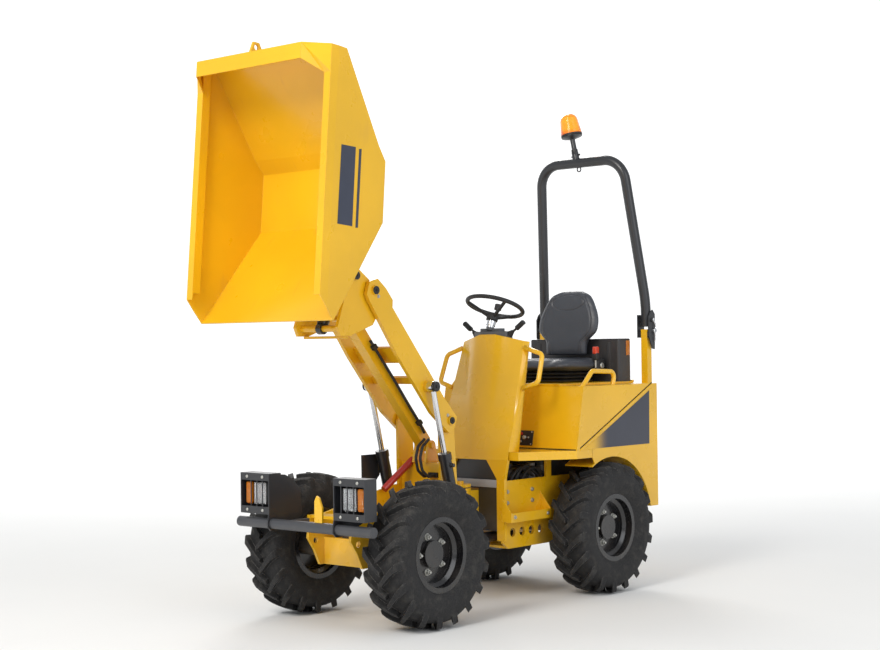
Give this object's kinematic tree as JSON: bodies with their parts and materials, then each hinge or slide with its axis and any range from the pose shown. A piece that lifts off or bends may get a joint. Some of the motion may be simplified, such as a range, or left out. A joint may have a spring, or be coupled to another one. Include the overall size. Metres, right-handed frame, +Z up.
{
  "type": "site dumper",
  "caption": "Articulated high-tip site dumper with raised lift arms, a tipped skip, a seated operator's place and a folding roll-over hoop.",
  "frame": {"origin": "on the ground, under the middle of the bounding box with the arms raised and the skip tipped", "axes": "+Z up, -Y towards the skip (the machine's front), +X towards the machine's left"},
  "size_m": [0.99, 2.5798, 2.6191],
  "materials": {
    "yellow_paint": "gloss",
    "black_paint": "satin",
    "grey_paint": "satin",
    "red_paint": "gloss",
    "steel": "brushed",
    "chrome": "mirror",
    "iron": "rough",
    "tread": "matte",
    "black_plastic": "matte",
    "amber_plastic": "gloss",
    "lamp_glass": "clear",
    "seat_vinyl": "grained"
  },
  "bodies": {
    "rear_frame": {"rear_side_plates": "yellow_paint", "side_steps": "yellow_paint", "rear_cross_plates": "yellow_paint", "steer_knuckle": "yellow_paint", "tow_pin": "steel", "front_tank": "black_paint", "floor_plate": "yellow_paint", "body_sides": "yellow_paint", "body_front": "yellow_paint", "body_rear": "yellow_paint", "engine": "iron", "shield": "yellow_paint", "dash": "grey_paint", "controls": "black_plastic", "rops_posts": "yellow_paint", "hinge_brackets": "black_paint", "hip_handles": "yellow_paint", "rear_grille": "black_paint", "tail_lamps": "amber_plastic", "rear_axle": "iron"},
    "engine_cover": {"engine_cover": "yellow_paint", "seat_base": "black_plastic", "seat_cushion": "seat_vinyl", "seat_back": "seat_vinyl", "rear_box": "black_plastic"},
    "rops_hoop": {"rops_hoop": "black_paint", "beacon": "amber_plastic"},
    "steering_wheel": {"steering_wheel": "black_plastic"},
    "front_frame": {"front_side_plates": "yellow_paint", "front_cross_plates": "yellow_paint", "lift_tower": "yellow_paint", "steer_yoke": "yellow_paint", "front_axle": "iron", "bumper": "black_paint", "lamp_guards": "black_paint", "headlamps": "lamp_glass", "indicators": "amber_plastic", "safety_prop": "red_paint", "tower_hoses": "black_plastic"},
    "lift_arms": {"lift_arms": "yellow_paint"},
    "level_link": {"level_link": "yellow_paint", "held_hose": "black_plastic"},
    "carrier": {"carrier": "yellow_paint"},
    "skip": {"skip": "yellow_paint", "skip_brackets": "yellow_paint"},
    "lift_barrels": {"lift_barrels": "black_paint"},
    "lift_rods": {"lift_rods": "chrome"},
    "tilt_barrel": {"tilt_barrel": "black_paint"},
    "tilt_rod": {"tilt_rod": "chrome"},
    "steer_barrel": {"steer_barrel": "black_paint"},
    "steer_rod": {"steer_rod": "chrome"},
    "wheel_front_left": {"tyre_front_left": "tread", "rim_front_left": "black_paint"},
    "wheel_front_right": {"tyre_front_right": "tread", "rim_front_right": "black_paint"},
    "wheel_rear_left": {"tyre_rear_left": "tread", "rim_rear_left": "black_paint"},
    "wheel_rear_right": {"tyre_rear_right": "tread", "rim_rear_right": "black_paint"}
  },
  "joints": [
    {"name": "steer_pivot", "type": "hinge", "parent": "rear_frame", "child": "front_frame", "pos_m": [0, 0.1009, 0.49], "axis": [0, 0, 1], "range_deg": [-32, 32]},
    {"name": "lift", "type": "hinge", "parent": "front_frame", "child": "lift_arms", "pos_m": [0, -0.1501, 0.916], "axis": [-1, 0, 0], "range_deg": [-60, 0]},
    {"name": "level_link_pivot", "type": "hinge", "parent": "front_frame", "child": "level_link", "pos_m": [0, -0.1501, 0.791], "axis": [-1, 0, 0], "range_deg": [-60, 0]},
    {"name": "carrier_pivot", "type": "hinge", "parent": "lift_arms", "child": "carrier", "pos_m": [0, -0.66844, 1.53374], "axis": [-1, 0, 0], "range_deg": [0, 60]},
    {"name": "tilt", "type": "hinge", "parent": "carrier", "child": "skip", "pos_m": [0, -0.77044, 1.59974], "axis": [1, 0, 0], "range_deg": [-85.4, 0]},
    {"name": "lift_ram_foot", "type": "hinge", "parent": "front_frame", "child": "lift_barrels", "pos_m": [0, -0.1701, 0.48], "axis": [-1, 0, 0], "range_deg": [-17, 0]},
    {"name": "lift_ram_stroke", "type": "slide", "parent": "lift_barrels", "child": "lift_rods", "axis": [0, -0.2407, 0.9706], "range_m": [-0.186, 0]},
    {"name": "tilt_ram_foot", "type": "hinge", "parent": "carrier", "child": "tilt_barrel", "pos_m": [0, -0.84544, 1.35974], "axis": [1, 0, 0], "range_deg": [-34.2, 0]},
    {"name": "tilt_ram_stroke", "type": "slide", "parent": "tilt_barrel", "child": "tilt_rod", "axis": [0, 0.3444, 0.9388], "range_m": [-0.11, 0]},
    {"name": "steer_ram_foot", "type": "hinge", "parent": "rear_frame", "child": "steer_barrel", "pos_m": [0.07, 0.4049, 0.315], "axis": [0, 0, 1], "range_deg": [-9.4, 9.4]},
    {"name": "steer_ram_stroke", "type": "slide", "parent": "steer_barrel", "child": "steer_rod", "axis": [0.0948, -0.9955, 0], "range_m": [-0.055, 0.055]},
    {"name": "cover_hinge", "type": "hinge", "parent": "rear_frame", "child": "engine_cover", "pos_m": [0, 1.20091, 1.074], "axis": [-1, 0, 0], "range_deg": [0, 45]},
    {"name": "hoop_fold", "type": "hinge", "parent": "rear_frame", "child": "rops_hoop", "pos_m": [0, 1.2649, 1.4], "axis": [-1, 0, 0], "range_deg": [0, 95]},
    {"name": "steering_wheel_turn", "type": "hinge", "parent": "rear_frame", "child": "steering_wheel", "pos_m": [0, 0.4019, 1.475], "axis": [0, 0.3584, 0.9336], "continuous": true},
    {"name": "roll_front_left", "type": "hinge", "parent": "front_frame", "child": "wheel_front_left", "pos_m": [0.387, -0.5711, 0.336], "axis": [1, 0, 0], "continuous": true},
    {"name": "roll_front_right", "type": "hinge", "parent": "front_frame", "child": "wheel_front_right", "pos_m": [-0.387, -0.5711, 0.336], "axis": [1, 0, 0], "continuous": true},
    {"name": "roll_rear_left", "type": "hinge", "parent": "rear_frame", "child": "wheel_rear_left", "pos_m": [0.387, 0.77391, 0.336], "axis": [1, 0, 0], "continuous": true},
    {"name": "roll_rear_right", "type": "hinge", "parent": "rear_frame", "child": "wheel_rear_right", "pos_m": [-0.387, 0.77391, 0.336], "axis": [1, 0, 0], "continuous": true}
  ],
  "couplings": [
    {"joint": "level_link_pivot", "follows": "lift", "ratio": 1},
    {"joint": "carrier_pivot", "follows": "lift", "ratio": -1},
    {"joint": "lift_ram_foot", "follows": "lift", "ratio": 0.2735},
    {"joint": "lift_ram_stroke", "follows": "lift", "m_per_rad": 0.1757},
    {"joint": "tilt_ram_foot", "follows": "tilt", "ratio": 0.399},
    {"joint": "tilt_ram_stroke", "follows": "tilt", "m_per_rad": 0.0733},
    {"joint": "steer_ram_foot", "follows": "steer_pivot", "ratio": 0.2905},
    {"joint": "steer_ram_stroke", "follows": "steer_pivot", "m_per_rad": -0.0965}
  ]
}
